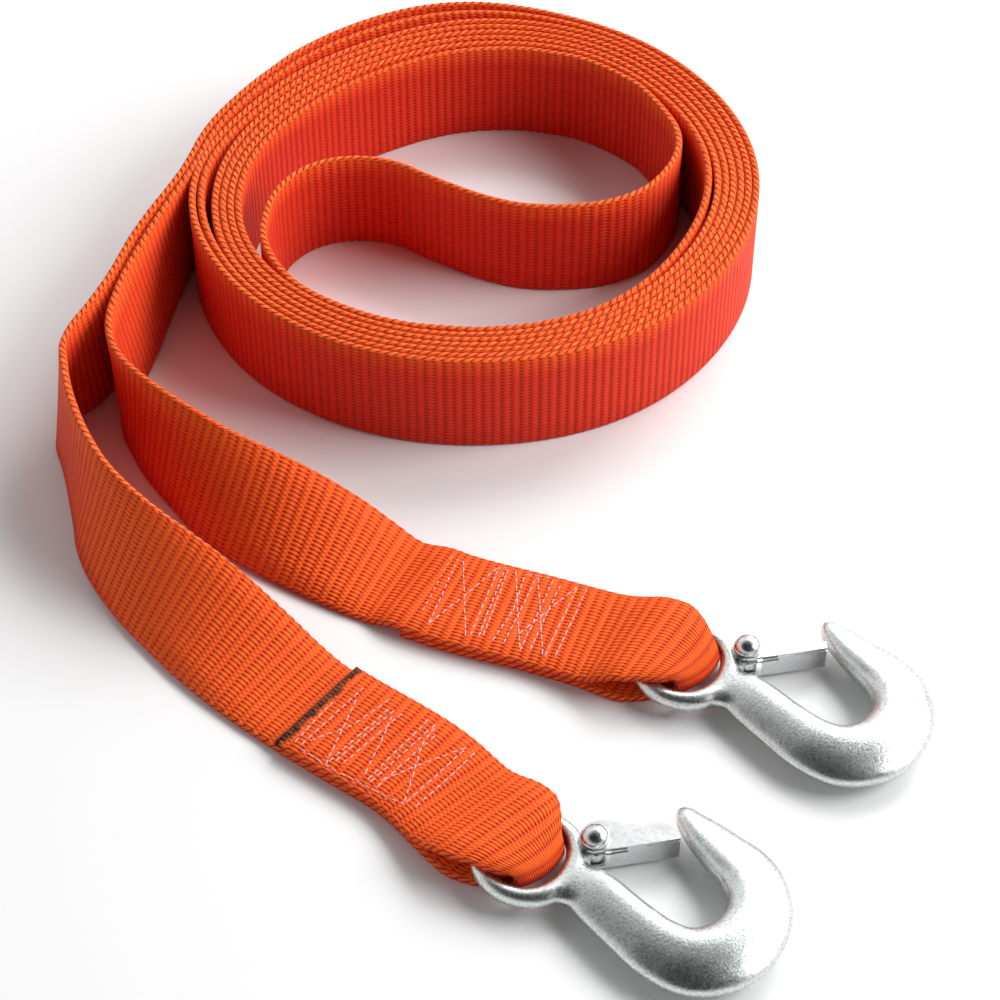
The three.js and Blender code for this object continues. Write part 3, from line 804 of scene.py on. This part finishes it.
def rivet_mesh():
    profile = list(RIVET_PROFILE)
    for i in range(1, DOME_STEPS + 1):
        angle = i / DOME_STEPS * math.pi / 2
        radius = max(DOME_RADIUS * math.cos(angle), 0.04)
        profile.append((radius, DOME_BOTTOM + DOME_HEIGHT * math.sin(angle)))
    vertices, faces = lathe(profile, 64, PIVOT)
    data = bpy.data.meshes.new("rivet_form")
    data.from_pydata(vertices, [], faces)
    return data


hook_form, rivet_form = hook_mesh(), rivet_mesh()
for end, tail in (("front", FRONT_TAIL), ("rear", REAR_TAIL)):
    metal_piece(f"forged_hook_{end}", placed(hook_form, tail), hook_metal, f"hook_{end}")
    metal_piece(f"domed_rivet_{end}", placed(rivet_form, tail), rivet_metal, f"rivet_{end}")

# Stitching of the sewn ends: rows of dashes, as distance from the middle of the eye towards the hook
# and distance aside, in millimetres

FRONT_STITCHES = [
    [(-105.5, 19.7), (-109.2, -5.5)], [(-102.6, 19.8), (-105.3, -18.7)], [(-103.2, -12.6), (-88.7, 19.3)],
    [(-102.4, 16.1), (-95.1, -1.4), (-93.3, -21.2)], [(-87.1, 16.5), (-88.3, -20.8)],
    [(-88.8, 18.1), (-90.2, -17.6)], [(-84.1, 15), (-84.6, -19.9)],
    [(-74.1, 12.6), (-80.8, -3.5), (-86.4, -15.4)], [(-71.4, 14.1), (-74.8, -24.4)],
    [(-69.8, 14), (-71, -24.6)], [(-66.3, 14.8), (-67.3, -21.2)],
    [(-67.4, 10.4), (-62, -4.4), (-53.4, -24.8)], [(-52.7, 12.9), (-68.1, -14), (-70.4, -23.2)],
    [(-52.4, 12.6), (-53.7, -24.6)], [(-48, 12.6), (-49.2, -24.2)],
    [(-102.9, 20.1), (-88.7, 19.3), (-82.3, 18.5), (-70.5, 16.1), (-62.4, 15), (-52.7, 12.9)],
]
REAR_STITCHES = [
    [(-109.8, 16.1), (-111.8, -19.6)], [(-104.7, 20.8), (-108.7, -18.5)], [(-107.1, -19.8), (-88, 20)],
    [(-104.9, 20.3), (-98.1, 0.7), (-91.1, -21.2)], [(-86.4, 19.8), (-91.1, -21.2)],
    [(-83.2, 18.5), (-88.5, -22.3)], [(-81.6, 17.2), (-87.3, -22.9)], [(-84.4, -22.8), (-64.6, 18.5)],
    [(-77.1, 18.7), (-76, -0.6), (-79.5, -21.3), (-68.5, -24)], [(-72.2, 18.4), (-74.6, -22.2)],
    [(-64.6, 18.5), (-67.6, -23.6)], [(-61, 17), (-63.8, -23.8)], [(-74.3, -23), (-54.9, 17.7)],
    [(-54.2, 17.4), (-56.7, -23.6)], [(-50.2, 16.9), (-52.6, -23.8)], [(-69.2, 11.5), (-56.7, -23.6)],
]
STITCH_LENGTH = 3.1
STITCH_GAP = 0.9
THREAD_RADIUS = 0.27
THREAD_SIDES = 6
# A stitch as rings along its thread, with its arch and how deep its ends lie in the webbing
DASH_RINGS = 7
DASH_RISE = 0.34
DASH_SINK = 0.12
# A row ends where less than this is left of it
SHORTEST_STITCH = 1.6
# The point of a tail that lies straight behind its sewn end
SEAM_START = 6
# Stations of the fold that lie on its upper layer
UPPER_STATIONS = 8


def thread_material():
    material, tree, shader = new_material("thread", (0.9, 0.62, 0.62), 0.55, 0)
    twist = noise(tree, 1600, 2)
    tree.links.new(blend_colour(tree, twist, (0.66, 0.3, 0.32), (0.93, 0.7, 0.72)),
                   shader.inputs["Base Color"])
    bump(tree, shader, twist, 0.0002)
    return material


thread = thread_material()


def top_of_fold(distance):
    places = sorted((d, h) for d, h, w, a in EYE_FOLD[:UPPER_STATIONS])
    height = np.interp(distance, [d for d, h in places], [h for d, h in places])
    return float(height) + WEB_THICKNESS / 2


def dash(a, b):
    """A stitch: a short thread that rises out of the webbing and dives back into it."""
    a, b = np.array(a), np.array(b)
    along = (b - a) / np.linalg.norm(b - a)
    side = np.array([-along[1], along[0], 0])
    up = np.array([0, 0, 1])
    rings = []
    for t in np.linspace(0, 1, DASH_RINGS):
        arch = math.sin(math.pi * t)
        middle = a + (b - a) * t + up * (DASH_RISE * arch - DASH_SINK)
        thick = THREAD_RADIUS * (0.75 + 0.25 * arch)
        rings.append([middle + (side * math.cos(q) + up * math.sin(q)) * thick
                      for q in np.arange(THREAD_SIDES) * 2 * math.pi / THREAD_SIDES])
    return skin(rings)


def stitching(name, lines, tail, seed):
    """One field of stitches on the upper layer of a sewn end."""
    rng = np.random.default_rng(seed)
    ring = np.array(tail[1][:2]) + COIL
    toward = ring - (np.array(tail[SEAM_START][:2]) + COIL)
    toward /= np.linalg.norm(toward)
    aside = np.array([toward[1], -toward[0]])
    parts = []
    for line in lines:
        path = Line(np.array([(d, a, 0.0) for d, a in line]))
        at = rng.uniform(0, 1.5)
        while at + SHORTEST_STITCH < path.length:
            length = min(STITCH_LENGTH * rng.uniform(0.85, 1.12), path.length - at)
            ends = []
            for place in (path.place(at), path.place(at + length)):
                d, a = place[0] + rng.uniform(-0.2, 0.2), place[1] + rng.uniform(-0.15, 0.15)
                xy = ring + toward * d + aside * a
                ends.append((xy[0], xy[1], top_of_fold(d)))
            parts.append(dash(*ends))
            at += length + STITCH_GAP * rng.uniform(0.8, 1.2)
    vertices, faces = joined(parts)
    piece = mesh_piece(name, np.array(vertices) * MM, faces, thread)


stitching("stitching_front", FRONT_STITCHES, FRONT_TAIL, 3)
stitching("stitching_rear", REAR_STITCHES, REAR_TAIL, 5)

# Floor and light

FLOOR_REACH = 6.0


def floor_piece():
    material, tree, shader = new_material("floor", (0.9, 0.9, 0.9), 0.7, 0)
    tone = noise(tree, 3, 2)
    tree.links.new(blend_colour(tree, tone, (0.885, 0.885, 0.885), (0.905, 0.905, 0.905)),
                   shader.inputs["Base Color"])
    corners = [(x * FLOOR_REACH, y * FLOOR_REACH, 0) for x, y in ((-1, -1), (1, -1), (1, 1), (-1, 1))]
    floor = mesh_piece("floor", corners, [(0, 1, 2, 3)], material, body=None)


def facing(tree, direction, axis):
    """How far a direction of the studio faces along an axis."""
    node = tree.nodes.new("ShaderNodeVectorMath")
    node.operation = "DOT_PRODUCT"
    node.inputs[1].default_value = axis
    tree.links.new(direction, node.inputs[0])
    return Number(tree, node.outputs["Value"])


def studio_world():
    """Soft light from all sides, with a dark part above the viewer and a brighter back."""
    world = bpy.data.worlds.new("studio")
    bpy.context.scene.world = world
    world.use_nodes = True
    tree = world.node_tree
    background = tree.nodes["Background"]
    background.inputs["Strength"].default_value = 0.85
    direction = tree.nodes.new("ShaderNodeTexCoord").outputs["Generated"]
    dark = facing(tree, direction, (0.0, -0.35, 0.94)).ramp(0.5, 0.78)
    bright = facing(tree, direction, (0.0, 0.74, 0.67)).ramp(0.6, 0.95)
    sky = blend_colour(tree, bright, (1.0, 1.0, 1.0), (1.3, 1.3, 1.3))
    tree.links.new(blend_colour(tree, dark, sky, (0.03, 0.035, 0.035)), background.inputs["Color"])


def area_light(name, place, size, power):
    """A rectangular light that looks at the middle of the floor."""
    data = bpy.data.lights.new(name, "AREA")
    data.shape = "RECTANGLE"
    data.size, data.size_y = size
    data.energy = power
    lamp = bpy.data.objects.new(name, data)
    lamp.location = place
    lamp.rotation_euler = (-Vector(place)).to_track_quat("-Z", "Y").to_euler()
    bpy.context.scene.collection.objects.link(lamp)


floor_piece()
studio_world()
bpy.context.scene.view_settings.view_transform = "Standard"
area_light("key", (1.6, 0.0, 1.2), (1.2, 1.0), 32)
area_light("top", (1.1, 1.6, 1.6), (1.3, 1.1), 36)
